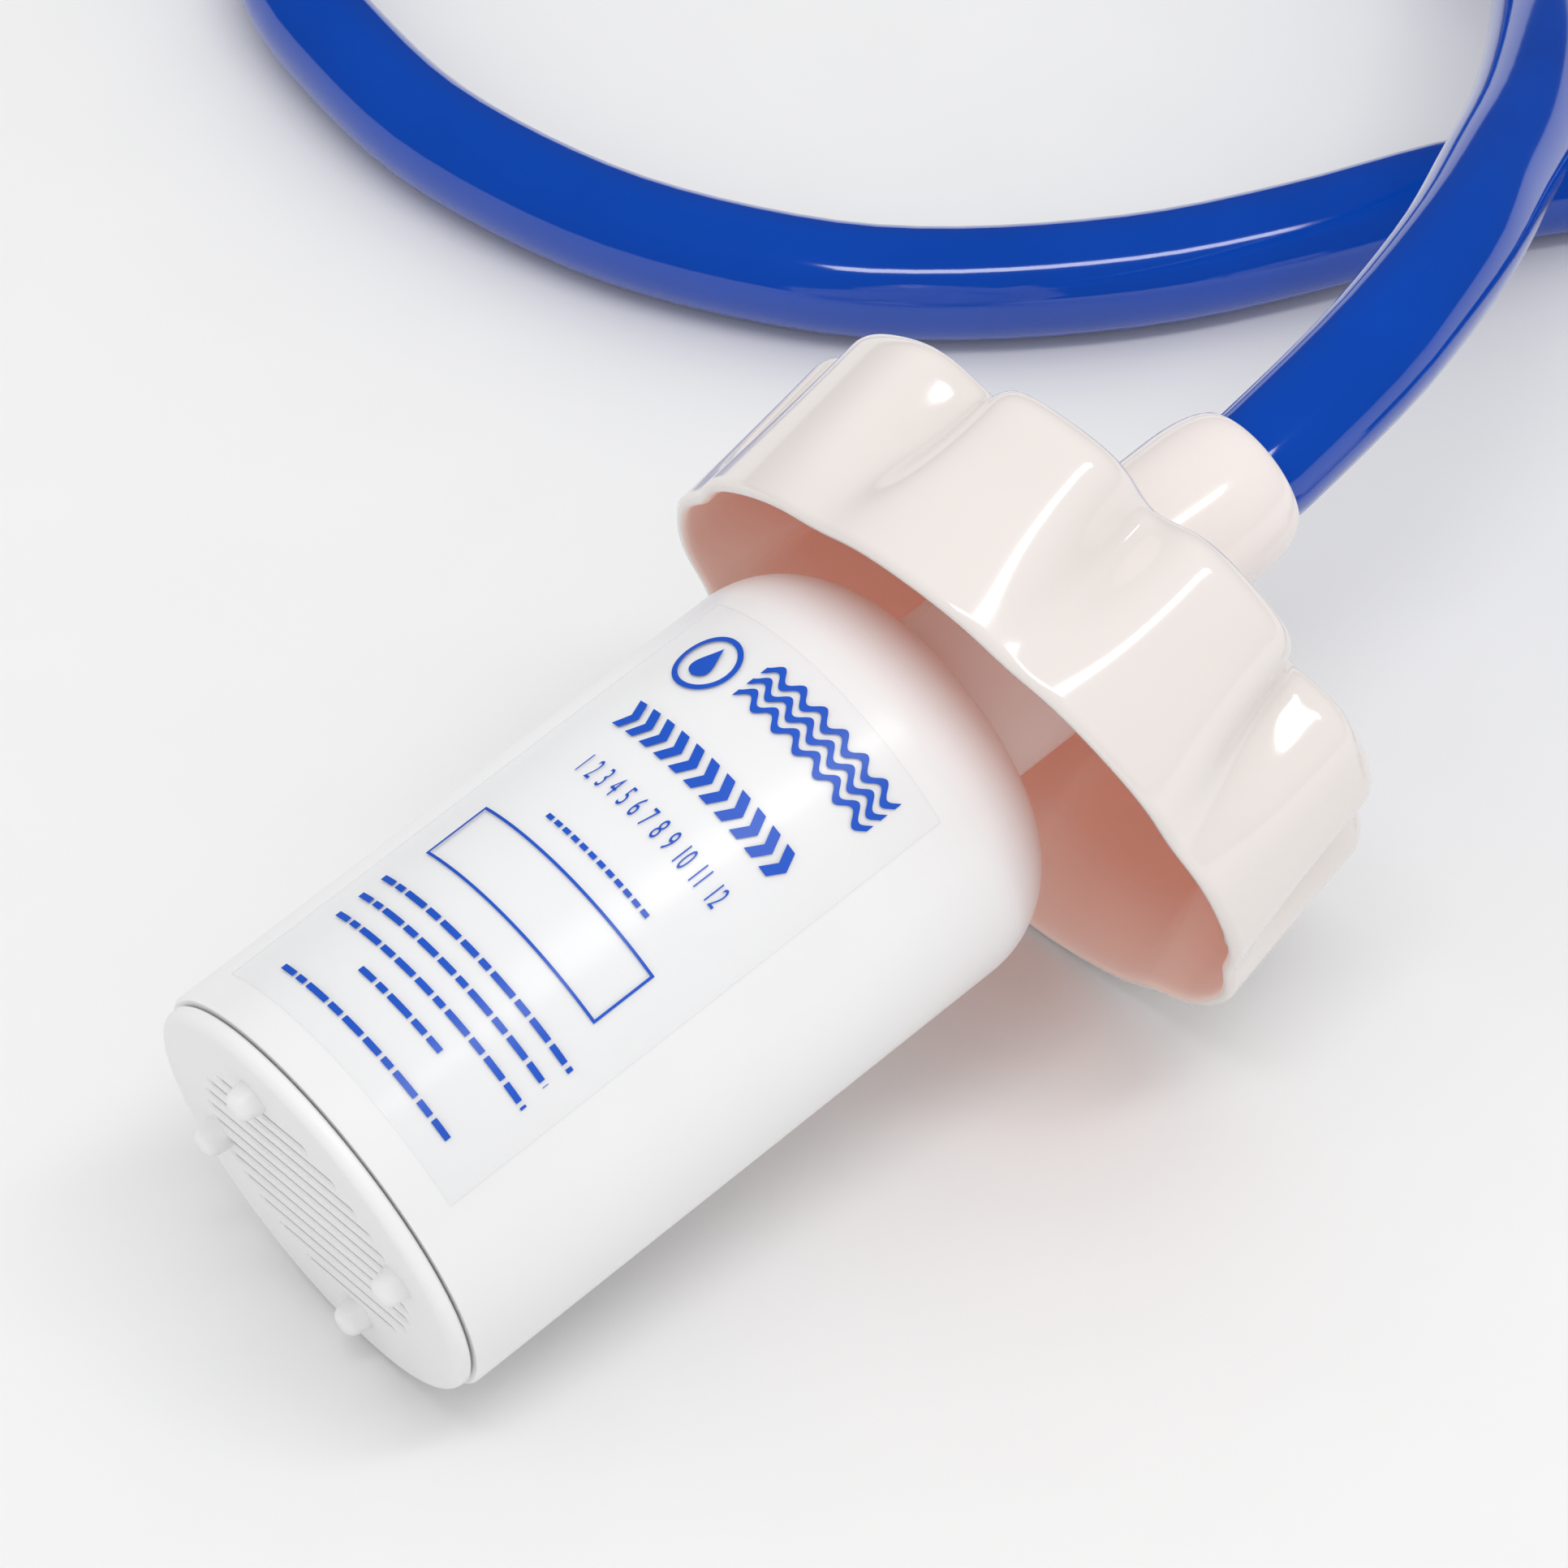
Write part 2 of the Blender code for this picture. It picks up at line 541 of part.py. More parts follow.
def cap_rows():
    """Rows (radius, z, groove depth) over the cap: out over the back, down, and back inside."""
    mouth_r = CAP_MOUTH_DIAMETER / 2
    back_r = CAP_BACK_DIAMETER / 2
    top = CAP_PLATE / 2
    round_z = top - CAP_BACK_ROUND
    skirt_length = MOUTH_DEPTH + round_z

    def side(inset, plate_z, round_r, arc_steps, skirt_steps):
        rows = [(CAP_HOLE_R, plate_z, 0.0)]
        middle_r = back_r - CAP_BACK_ROUND
        rows.append(((CAP_HOLE_R + middle_r) / 2, plate_z, 0.0))
        for step in range(arc_steps + 1):
            turn = math.pi / 2 * step / arc_steps
            rows.append((middle_r + round_r * math.sin(turn), round_z + round_r * math.cos(turn),
                         GROOVE_DEPTH))
        for step in range(1, skirt_steps + 1):
            share = step / skirt_steps
            fade = GROOVE_DEPTH + (GROOVE_DEPTH_AT_MOUTH - GROOVE_DEPTH) * share ** 2 * (3 - 2 * share)
            rows.append((back_r + (mouth_r - back_r) * share - inset, round_z - skirt_length * share, fade))
        return rows

    outer = side(0.0, top, CAP_BACK_ROUND, 5, 6)
    inner = side(CAP_WALL, top - CAP_PLATE, CAP_BACK_ROUND - CAP_PLATE, 3, 6)
    return outer + inner[::-1]


def build_grip_cap(seat, material):
    """Thin scalloped cap, lofted through its rows, with bayonet lugs inside the mouth."""
    bm = bmesh.new()
    count = LOBE_COUNT * POINTS_PER_LOBE
    loops = []
    for radius, z, depth in cap_rows():
        loop = []
        for step in range(count):
            angle = math.tau * step / count
            out = radius - depth * groove_share(angle)
            loop.append(bm.verts.new((-out * math.sin(angle), -out * math.cos(angle), z)))
        loops.append(loop)
    for near, far in zip(loops, loops[1:] + loops[:1]):
        for step in range(count):
            after = (step + 1) % count
            bm.faces.new((near[step], near[after], far[after], far[step]))
    cap = add_object("grip_cap", bm, material, seat)
    lumps = bmesh.new()
    wall_middle_r = (CAP_MOUTH_DIAMETER - CAP_WALL) / 2
    reach = LUG_HEIGHT + CAP_WALL / 2
    for index in range(LUG_COUNT):
        block = bmesh.ops.create_cube(lumps, size=1.0)["verts"]
        size = Matrix.Diagonal((reach, LUG_WIDTH, LUG_LENGTH, 1.0))
        z = -MOUTH_DEPTH + LUG_SETBACK + LUG_LENGTH / 2
        place = Matrix.Translation((wall_middle_r - reach / 2, 0.0, z))
        angle = LUG_PHASE + math.tau * index / LUG_COUNT
        turn = Matrix.Rotation(-math.pi / 2 - angle, 4, "Z")
        bmesh.ops.transform(lumps, matrix=turn @ place @ size, verts=block)
    boolean(cap, tool("lug_lumps", lumps, seat), "UNION")


def build_washer(seat, material):
    """Thrust washer that rocks with the cap, between its back and the collar."""
    high = -CAP_PLATE / 2 - FIT_GAP
    profile = washer_profile(WASHER_BORE_R, WASHER_DIAMETER / 2, high - WASHER_THICKNESS, high)
    turned("thrust_washer", profile, material, seat)


def smooth_route(before, points, after, spacing):
    """Points at an even spacing along a smooth curve through the route's own points."""
    ends = [before] + points + [after]
    fine = []
    steps = 24
    for previous, start, end, following in zip(ends, ends[1:], ends[2:], ends[3:]):
        slope_in = (end - previous) / 2
        slope_out = (following - start) / 2
        for step in range(steps):
            t = step / steps
            fine.append(start * (2 * t ** 3 - 3 * t ** 2 + 1) + slope_in * (t ** 3 - 2 * t ** 2 + t)
                        + end * (3 * t ** 2 - 2 * t ** 3) + slope_out * (t ** 3 - t ** 2))
    fine.append(points[-1])
    lengths = [0.0]
    for here, there in zip(fine, fine[1:]):
        lengths.append(lengths[-1] + (there - here).length)
    count = round(lengths[-1] / spacing)
    even = []
    index = 0
    for step in range(count + 1):
        want = lengths[-1] * step / count
        while index < len(fine) - 2 and lengths[index + 1] < want:
            index += 1
        share = (want - lengths[index]) / (lengths[index + 1] - lengths[index])
        even.append(fine[index].lerp(fine[index + 1], share))
    return even


def least_gap(points, diameter):
    """Least clear gap of the tube to itself, between stretches that aren't neighbours."""
    samples = []
    along = [0.0]
    for here, there in zip(points, points[1:]):
        for share in range(8):
            samples.append(here.lerp(there, share / 8))
            along.append(along[-1] + (there - here).length / 8)
    least = min(
        (samples[a] - samples[b]).length
        for a in range(len(samples))
        for b in range(a + 1, len(samples))
        if along[b] - along[a] > 4 * diameter
    )
    return least - diameter


def build_hose(frame, material):
    """The hose along its route, straight at both ends, as one tube with filled caps."""
    axis = frame.matrix_world.to_3x3() @ Vector((0, 0, 1))
    seat = frame.matrix_world.translation
    inside = seat + axis * (TAIL_END + 2 * FIT_GAP)
    leaves = seat + axis * BOSS_END
    free = seat + axis * (BOSS_END + HOSE_STRAIGHT)
    flat = Vector((SEAT_X, SEAT_Y, HOSE_DIAMETER / 2 + FIT_GAP))
    route = [flat + Vector(point) for point in HOSE_ROUTE]
    run = smooth_route(leaves, [free] + route[:-1], route[-1], HOSE_POINT_SPACING)
    points = [inside, leaves] + run + [route[-1]]
    length = sum((there - here).length for here, there in zip(points, points[1:]))
    gap = least_gap(points, HOSE_DIAMETER)
    print("hose length %.3f m, least gap to itself %.2f mm" % (length, gap * 1000))
    curve = bpy.data.curves.new("hose", "CURVE")
    curve.dimensions = "3D"
    curve.bevel_depth = HOSE_DIAMETER / 2
    curve.bevel_resolution = 3
    curve.use_fill_caps = True
    spline = curve.splines.new("POLY")
    spline.points.add(len(points) - 1)
    for slot, point in zip(spline.points, points):
        slot.co = (*point, 1.0)
    curve.materials.append(material)
    hose = bpy.data.objects.new("hose", curve)
    bpy.context.collection.objects.link(hose)
    return points


def build_connector(points, material, seal_material):
    """Straight push-in connector on the hose's far end, and the ring on its nose."""
    end = points[-1]
    heading = (points[-1] - points[-2]).normalized()
    rotation = heading.to_track_quat("Z", "X").to_euler()
    frame = empty("connector_axis", end, rotation)
    socket_r = HOSE_DIAMETER / 2 + FIT_GAP
    collar_r = CONNECTOR_COLLAR_DIAMETER / 2
    nose_r = CONNECTOR_NOSE_DIAMETER / 2
    bore_r = CONNECTOR_BORE / 2
    sleeve_r = socket_r + CONNECTOR_WALL
    floor_z = FIT_GAP
    collar_end = floor_z + CONNECTOR_COLLAR_LENGTH
    nose_end = collar_end + CONNECTOR_NOSE_LENGTH
    seal_z = nose_end - CONNECTOR_SEAL_SETBACK
    groove_half = CONNECTOR_SEAL_SECTION / 2 + FIT_GAP
    groove_r = nose_r - CONNECTOR_SEAL_SECTION / 2 - FIT_GAP
    profile = [(bore_r, nose_end), (nose_r, nose_end), (nose_r, seal_z + groove_half)]
    profile += [(groove_r, seal_z + groove_half), (groove_r, seal_z - groove_half)]
    profile += [(nose_r, seal_z - groove_half), (nose_r, collar_end), (collar_r, collar_end)]
    profile += [(collar_r, floor_z), (sleeve_r, floor_z), (sleeve_r, floor_z - CONNECTOR_SOCKET_LENGTH)]
    profile += [(socket_r, floor_z - CONNECTOR_SOCKET_LENGTH), (socket_r, floor_z), (bore_r, floor_z)]
    turned("pump_connector", profile, material, frame)
    seal_r = groove_r + FIT_GAP + CONNECTOR_SEAL_SECTION / 2
    turned("connector_seal", ring_profile(seal_r, seal_z, CONNECTOR_SEAL_SECTION), seal_material, frame)


def build_filter():
    """Make the materials, the joint markers and every piece."""
    white = finish("moulded_white", (0.86, 0.86, 0.86), 0.35)
    blush = finish("grip_white", (0.86, 0.79, 0.76), 0.12)
    neck = finish("neck_white", (0.84, 0.76, 0.73), 0.25)
    clear = finish("clear_film", (0.90, 0.91, 0.93), 0.12, alpha=0.25)
    blue = finish("hose_blue", (0.01, 0.07, 0.40), 0.15)
    rubber = finish("black_rubber", (0.03, 0.03, 0.03), 0.6)
    felt = finish("felt_white", (0.80, 0.80, 0.77), 0.95)
    carbon = finish("carbon_black", (0.02, 0.02, 0.02), 0.9)
    mesh = finish("screen_nylon", (0.70, 0.72, 0.75), 0.5)
    steel = finish("spring_steel", (0.62, 0.63, 0.65), 0.3, metallic=1.0)
    acetal = finish("collet_grey", (0.45, 0.46, 0.48), 0.4)
    seat_point = (SEAT_X, SEAT_Y, SEAT_Z)
    axis_frame = empty("filter_axis", seat_point, Euler((0.0, math.pi / 2 - AXIS_PITCH, 0.0)))
    cap_frame = empty("cap_axis", seat_point, Euler((0.0, math.pi / 2 - CAP_PITCH, CAP_YAW)))
    bpy.context.view_layer.update()
    build_shell(axis_frame, white)
    plug_inner_r = build_grille_cap(axis_frame, white, rubber)
    filling = {"screen": mesh, "pad": felt, "carbon": carbon, "disc": white}
    build_filling(axis_frame, plug_inner_r, filling)
    build_neck(axis_frame, neck)
    build_film(axis_frame, clear)
    build_spigot(axis_frame, neck, rubber)
    build_boss(axis_frame, blush, steel, acetal)
    build_washer(cap_frame, acetal)
    build_grip_cap(cap_frame, blush)
    points = build_hose(axis_frame, blue)
    build_connector(points, white, rubber)


clear_scene()
build_filter()
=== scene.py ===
import json
import math
import bmesh
import bpy
from mathutils import Matrix, Vector


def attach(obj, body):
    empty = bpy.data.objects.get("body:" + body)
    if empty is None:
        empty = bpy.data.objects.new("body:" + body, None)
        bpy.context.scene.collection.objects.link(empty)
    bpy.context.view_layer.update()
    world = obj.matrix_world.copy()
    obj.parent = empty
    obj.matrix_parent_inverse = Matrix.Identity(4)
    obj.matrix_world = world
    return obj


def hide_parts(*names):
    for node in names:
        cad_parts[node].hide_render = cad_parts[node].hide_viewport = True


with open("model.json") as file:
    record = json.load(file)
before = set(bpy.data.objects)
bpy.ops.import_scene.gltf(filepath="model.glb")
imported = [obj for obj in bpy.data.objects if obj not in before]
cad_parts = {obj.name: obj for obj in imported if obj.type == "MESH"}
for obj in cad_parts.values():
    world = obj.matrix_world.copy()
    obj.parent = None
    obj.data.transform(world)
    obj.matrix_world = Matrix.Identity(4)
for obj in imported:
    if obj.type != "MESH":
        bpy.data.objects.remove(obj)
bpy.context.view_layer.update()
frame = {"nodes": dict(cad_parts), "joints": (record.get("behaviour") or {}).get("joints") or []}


# ---- Cartridge shell -------------------------------------------------------------------------
# A white polypropylene tube, injection moulded in one with its round shoulder.  The whole filter
# is built on one axis, which rises from the slotted end to the hose because the cap props it up.
joints = {joint["name"]: joint for joint in frame["joints"]}
seat = Vector(joints["cap_turn"]["pos_m"])
along = Vector(joints["plug_pull"]["axis"]).normalized()
near_side = Vector((0.0, -1.0, 0.0))
upward = near_side.cross(along)
filter_place = Matrix((upward, near_side, along)).transposed().to_4x4()
filter_place.translation = seat


def reach(node, place):
    """First and last station of a CAD node along an axis, and its largest radius."""
    inverse = place.inverted()
    points = [inverse @ vertex.co for vertex in frame["nodes"][node].data.vertices]
    stations = [point.z for point in points]
    return min(stations), max(stations), max(point.xy.length for point in points)


def arc(centre_r, centre_z, radius, start, end, steps):
    """Points (radius, station) round a corner, angles in degrees from straight outwards."""
    turns = [math.radians(start + (end - start) * step / steps) for step in range(steps + 1)]
    return [(centre_r + radius * math.cos(turn), centre_z + radius * math.sin(turn)) for turn in turns]


def add_piece(name, bm, place, material, sharp=40):
    """Makes an object of a bmesh, smooth except at its real edges."""
    mesh = bpy.data.meshes.new(name)
    bmesh.ops.recalc_face_normals(bm, faces=bm.faces)
    bm.to_mesh(mesh)
    bm.free()
    mesh.shade_smooth()
    mesh.set_sharp_from_angle(angle=math.radians(sharp))
    mesh.materials.append(material)
    piece = bpy.data.objects.new(name, mesh)
    piece.matrix_world = place
    bpy.context.scene.collection.objects.link(piece)
    return piece


def turned(name, outline, place, material, closed=True, facets=160):
    """A turned piece from its outline of (radius, station) points."""
    bm = bmesh.new()
    rings = []
    for radius, station in outline:
        if radius < 1e-6:
            rings.append([bm.verts.new((0.0, 0.0, station))] * facets)
            continue
        turns = [math.tau * step / facets for step in range(facets)]
        rings.append([bm.verts.new((radius * math.cos(t), radius * math.sin(t), station)) for t in turns])
    pairs = list(zip(rings, rings[1:]))
    if closed:
        pairs.append((rings[-1], rings[0]))
    for here, there in pairs:
        for step in range(facets):
            after = (step + 1) % facets
            corners = list(dict.fromkeys((here[step], here[after], there[after], there[step])))
            if len(corners) > 2:
                bm.faces.new(corners)
    return add_piece(name, bm, place, material)


def moulded(name, colour, roughness, mottle=0.03, grain=0.05, grain_scale=900.0, coat=0.0):
    """Moulded plastic or rubber: faint clouds in the tone and the gloss, and a fine skin grain."""
    material = bpy.data.materials.new(name)
    material.use_nodes = True
    nodes = material.node_tree.nodes
    links = material.node_tree.links
    skin = nodes["Principled BSDF"]
    where = nodes.new("ShaderNodeTexCoord")
    cloud = nodes.new("ShaderNodeTexNoise")
    cloud.inputs["Scale"].default_value = 46.0
    cloud.inputs["Detail"].default_value = 4.0
    links.new(where.outputs["Object"], cloud.inputs["Vector"])
    tone = nodes.new("ShaderNodeValToRGB")
    tone.color_ramp.elements[0].position = 0.3
    tone.color_ramp.elements[1].position = 0.7
    tone.color_ramp.elements[0].color = (*[part * (1.0 - mottle) for part in colour], 1.0)
    tone.color_ramp.elements[1].color = (*[min(part * (1.0 + mottle), 1.0) for part in colour], 1.0)
    links.new(cloud.outputs["Fac"], tone.inputs["Fac"])
    links.new(tone.outputs["Color"], skin.inputs["Base Color"])
    gloss = nodes.new("ShaderNodeMapRange")
    gloss.inputs["To Min"].default_value = roughness * 0.85
    gloss.inputs["To Max"].default_value = roughness * 1.15
    links.new(cloud.outputs["Fac"], gloss.inputs["Value"])
    links.new(gloss.outputs["Result"], skin.inputs["Roughness"])
    pores = nodes.new("ShaderNodeTexNoise")
    pores.inputs["Scale"].default_value = grain_scale
    pores.inputs["Detail"].default_value = 2.0
    links.new(where.outputs["Object"], pores.inputs["Vector"])
    bump = nodes.new("ShaderNodeBump")
    bump.inputs["Strength"].default_value = grain
    bump.inputs["Distance"].default_value = 0.0002
    links.new(pores.outputs["Fac"], bump.inputs["Height"])
    links.new(bump.outputs["Normal"], skin.inputs["Normal"])
    skin.inputs["Coat Weight"].default_value = coat
    skin.inputs["Coat Roughness"].default_value = 0.06
    return material


seam, shoulder_top, shell_r = reach("cartridge_shell", filter_place)
shell_wall = 0.0020
shoulder_round = 0.0140
neck_hole_r = 0.0123
shell_white = moulded("shell white", (0.86, 0.86, 0.865), 0.30, mottle=0.012, grain=0.03)
shell_outline = [(neck_hole_r, shoulder_top - 0.0003), (neck_hole_r + 0.0003, shoulder_top)]
shoulder_r, shoulder_z = shell_r - shoulder_round, shoulder_top - shoulder_round
shell_outline += arc(shoulder_r, shoulder_z, shoulder_round, 90, 0, 24)
shell_outline += [(shell_r, seam + 0.0005), (shell_r - 0.0004, seam), (shell_r - shell_wall, seam)]
shell_outline += arc(shoulder_r, shoulder_z, shoulder_round - shell_wall, 0, 90, 12)
shell_outline.append((neck_hole_r, shoulder_top - shell_wall))
shell = turned("cartridge_shell_white", shell_outline, filter_place, shell_white, facets=192)
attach(shell, "cartridge")
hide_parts("cartridge_shell")


# ---- Slotted end -----------------------------------------------------------------------------
# The inlet: a separate white moulding with fine parallel slots and four stub feet, plugged into
# the open end of the shell; its rounded rim leaves a fine dark groove at the seam.
grille_first, grille_last, grille_r = reach("grille_cap", filter_place)
foot_height = 0.0030
grille_face = grille_first + foot_height
grille_back = seam - 0.0003
grille_round = 0.0014
plug_r = shell_r - shell_wall - 0.0003
plug_inner_r = plug_r - 0.0027
slot_turn = Matrix.Rotation(math.radians(90 - 12), 4, "Z")
slot_count = 11
slot_pitch = 0.0032
slot_half_width = 0.00058
slot_field_r = 0.0186
slot_chamfer = 0.0003
foot_circle_r = 0.0192
foot_r = 0.0023


def combined(piece, other, operation):
    """Cuts or joins two pieces exactly, keeps the result and removes the tool."""
    step = piece.modifiers.new(operation.lower(), "BOOLEAN")
    step.operation = operation
    step.solver = "EXACT"
    step.object = other
    depsgraph = bpy.context.evaluated_depsgraph_get()
    mesh = bpy.data.meshes.new_from_object(piece.evaluated_get(depsgraph))
    piece.modifiers.clear()
    piece.data = mesh
    bpy.data.objects.remove(other)


grille_white = moulded("slotted end white", (0.85, 0.85, 0.855), 0.42, mottle=0.015, grain=0.10)
grille_outline = [(0.0, grille_back), (plug_inner_r, grille_back), (plug_inner_r, grille_last)]
grille_outline += [(plug_r - 0.0005, grille_last), (plug_r, grille_last - 0.0005), (plug_r, grille_back)]
grille_outline += [(grille_r - 0.0003, grille_back), (grille_r, grille_back - 0.0003)]
grille_outline += arc(grille_r - grille_round, grille_face + grille_round, grille_round, 0, -90, 10)
grille_outline.append((0.0, grille_face))
grille = turned("slotted_end_white", grille_outline, filter_place, grille_white, closed=False, facets=192)
slots = bmesh.new()
for index in range(slot_count):
    across = (index - (slot_count - 1) / 2) * slot_pitch
    half_length = math.sqrt(slot_field_r ** 2 - across ** 2) - slot_half_width
    rows = []
    for depth, flare in ((-0.0006, 0.0009), (slot_chamfer, 0.0), (0.0050, 0.0)):
        row = []
        for end in (1, -1):
            for step in range(9):
                turn = math.radians(-90 + 22.5 * step)
                x = end * (half_length + (slot_half_width + flare) * math.cos(turn))
                y = end * (slot_half_width + flare) * math.sin(turn)
                row.append(slots.verts.new((x, across + y, grille_face + depth)))
        rows.append(row)
    for here, there in zip(rows, rows[1:]):
        for step in range(len(here)):
            after = (step + 1) % len(here)
            slots.faces.new((here[step], here[after], there[after], there[step]))
    slots.faces.new(rows[0])
    slots.faces.new(rows[-1])
bmesh.ops.transform(slots, matrix=slot_turn, verts=slots.verts)
combined(grille, add_piece("slots", slots, filter_place, grille_white), "DIFFERENCE")
for quarter in range(4):
    turn = math.radians(12 + 90 * quarter)
    foot_root = grille_face + 0.0008
    foot_outline = [(0.0, foot_root), (foot_r, foot_root), (foot_r, grille_face - 0.0006)]
    foot_outline += arc(foot_r - 0.0017, grille_first + 0.0015, 0.0015, 0, -90, 8)
    foot_outline.append((0.0, grille_first))
    shift = Matrix.Translation((foot_circle_r * math.cos(turn), -foot_circle_r * math.sin(turn), 0.0))
    foot = turned("foot", foot_outline, filter_place @ shift, grille_white, closed=False, facets=32)
    combined(grille, foot, "UNION")
grille.data.shade_smooth()
grille.data.set_sharp_from_angle(angle=math.radians(35))
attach(grille, "cartridge")
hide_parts("grille_cap")


# ---- Filling ---------------------------------------------------------------------------------
# Behind the slots lie a woven nylon screen, a felt pad, the bed of carbon granules, a second pad
# and a drilled disc, with a rubber ring round the plug.  They show only through the slots.
def dress(node, material):
    """Gives a carried-over CAD node its finish."""
    mesh = frame["nodes"][node].data
    mesh.materials.clear()
    mesh.materials.append(material)


black_rubber = moulded("black rubber", (0.03, 0.03, 0.03), 0.55, mottle=0.2, grain=0.2)
felt = moulded("white felt", (0.78, 0.78, 0.75), 0.95, mottle=0.08, grain=0.9, grain_scale=1400.0)
carbon = moulded("carbon granules", (0.02, 0.02, 0.02), 0.6, mottle=0.5, grain=1.0, grain_scale=700.0)
# The screen is painted darker than its nylon so that the slots read shaded: partly its own weave, partly
# painted shade.
nylon_screen_and_painted_shade = moulded("woven nylon", (0.62, 0.64, 0.67), 0.5, mottle=0.05, grain=0.3)
# Painted shade: the dark thread colours stand in for the shade inside the slots; the checker weave is the
# screen's own.
weave_and_painted_shade = nylon_screen_and_painted_shade.node_tree.nodes.new("ShaderNodeTexChecker")
weave_and_painted_shade.inputs["Scale"].default_value = 2200.0
weave_and_painted_shade.inputs["Color1"].default_value = (0.34, 0.35, 0.37, 1.0)
weave_and_painted_shade.inputs["Color2"].default_value = (0.16, 0.165, 0.175, 1.0)
screen_nodes = nylon_screen_and_painted_shade.node_tree.nodes
screen_links = nylon_screen_and_painted_shade.node_tree.links
screen_links.new(screen_nodes["Texture Coordinate"].outputs["Object"], weave_and_painted_shade.inputs["Vector"])
screen_links.new(weave_and_painted_shade.outputs["Color"], screen_nodes["Principled BSDF"].inputs["Base Color"])
disc_white = moulded("drilled disc white", (0.80, 0.80, 0.80), 0.45)
dress("grille_seal", black_rubber)
dress("grille_screen", nylon_screen_and_painted_shade)
dress("grille_pad", felt)
dress("carbon_bed", carbon)
dress("neck_pad", felt)
dress("support_disc", disc_white)


# ---- Neck ------------------------------------------------------------------------------------
# The outlet socket: a white polypropylene sleeve whose flange sits inside the shoulder.  It is
# turned here from the section of its solid, with its edges broken.
def section(node, place):
    """The outline (radius, station) of a turned CAD node, in order round its section."""
    bm = bmesh.new()
    bm.from_mesh(frame["nodes"][node].data)
    bmesh.ops.transform(bm, matrix=place.inverted(), verts=bm.verts)
    bmesh.ops.remove_doubles(bm, verts=bm.verts, dist=2e-6)
    widest = max(bm.verts, key=lambda vert: vert.co.xy.length)
    radial = widest.co.xy.normalized()
    kept = {vert for vert in bm.verts
            if abs(vert.co.x * radial.y - vert.co.y * radial.x) < 1e-5 and vert.co.xy.dot(radial) > 1e-5}
    outline = [widest]
    while True:
        steps = [edge.other_vert(outline[-1]) for edge in outline[-1].link_edges]
        steps = [vert for vert in steps if vert in kept and vert not in outline]
        if not steps:
            break
        outline.append(min(steps, key=lambda vert: (vert.co - outline[-1].co).length))
    points = [(vert.co.xy.length, vert.co.z) for vert in outline]
    bm.free()
    return points


def eased(outline, size):
    """Breaks each sharp corner of a closed outline by a small round."""
    points = [Vector(point) for point in outline]
    result = []
    for before, corner, after in zip(points[-1:] + points[:-1], points, points[1:] + points[:1]):
        arm_in = before - corner
        arm_out = after - corner
        if arm_in.length < 1e-7 or arm_out.length < 1e-7 or arm_in.angle(arm_out) > math.radians(150):
            result.append(tuple(corner))
            continue
        start = corner + arm_in.normalized() * min(size, arm_in.length * 0.45)
        end = corner + arm_out.normalized() * min(size, arm_out.length * 0.45)
        for share in (0.0, 0.33, 0.67, 1.0):
            point = start * (1 - share) ** 2 + corner * (2 * share * (1 - share)) + end * share ** 2
            result.append(tuple(point))
    return result


neck_white = moulded("neck white", (0.88, 0.855, 0.845), 0.28, mottle=0.02, grain=0.03)
neck_outline = eased(section("neck_socket", filter_place), 0.0005)
neck = turned("neck_sleeve", neck_outline, filter_place, neck_white)
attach(neck, "cartridge")
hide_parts("neck_socket")


# ---- Label film and its print ----------------------------------------------------------------
# A clear film stuck round the upper side of the shell, printed in blue.  The print is plain here:
# a ring with a drop, waves, chevrons, numbers, an empty box and ruled lines in place of words.
film_first, film_last = 0.0050, 0.0795
film_far, film_near = math.radians(-34.0), math.radians(54.5)
film_low_r, film_high_r = shell_r + 0.0001, shell_r + 0.0003
ink_r = shell_r + 0.00036


def on_shell(angle, station, radius):
    """A point over the shell: angle from the top towards the near side, station from the seam."""
    return radius * math.cos(angle), radius * math.sin(angle), seam + station


film_clear = moulded("clear film", (0.90, 0.91, 0.93), 0.16, mottle=0.01, grain=0.06, grain_scale=60.0)
film_clear.node_tree.nodes["Principled BSDF"].inputs["Alpha"].default_value = 0.08
film_edge = moulded("film edge", (0.62, 0.64, 0.68), 0.25, mottle=0.02)
film_edge.node_tree.nodes["Principled BSDF"].inputs["Alpha"].default_value = 0.30
film_bm = bmesh.new()
film_columns = 60
film_rows = []
for radius, station in ((film_high_r, film_first), (film_high_r, film_last),
                        (film_low_r, film_last), (film_low_r, film_first)):
    turns = [film_far + (film_near - film_far) * step / film_columns for step in range(film_columns + 1)]
    film_rows.append([film_bm.verts.new(on_shell(turn, station, radius)) for turn in turns])
for index, (here, there) in enumerate(zip(film_rows, film_rows[1:] + film_rows[:1])):
    for step in range(film_columns):
        face = film_bm.faces.new((here[step], here[step + 1], there[step + 1], there[step]))
        face.material_index = index % 2
for step in (0, film_columns):
    film_bm.faces.new([row[step] for row in film_rows]).material_index = 1
film = add_piece("label_film_clear", film_bm, filter_place, film_clear)
film.data.materials.append(film_edge)
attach(film, "cartridge")
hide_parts("label_film")

blue_ink = moulded("blue ink", (0.004, 0.085, 0.56), 0.35, mottle=0.10, grain=0.04)
ink = bmesh.new()


def strip(lower, upper):
    """A band of print between two runs of (angle in degrees, station in millimetres)."""
    below = [ink.verts.new(on_shell(math.radians(a), s / 1000, ink_r)) for a, s in lower]
    above = [ink.verts.new(on_shell(math.radians(a), s / 1000, ink_r)) for a, s in upper]
    for step in range(len(below) - 1):
        ink.faces.new((below[step], below[step + 1], above[step + 1], above[step]))


def bar(start, end, low, high):
    """A printed bar, stepped finely enough to follow the shell."""
    steps = max(2, round(abs(end - start) / 1.5))
    angles = [start + (end - start) * step / steps for step in range(steps + 1)]
    strip([(a, low) for a in angles], [(a, high) for a in angles])


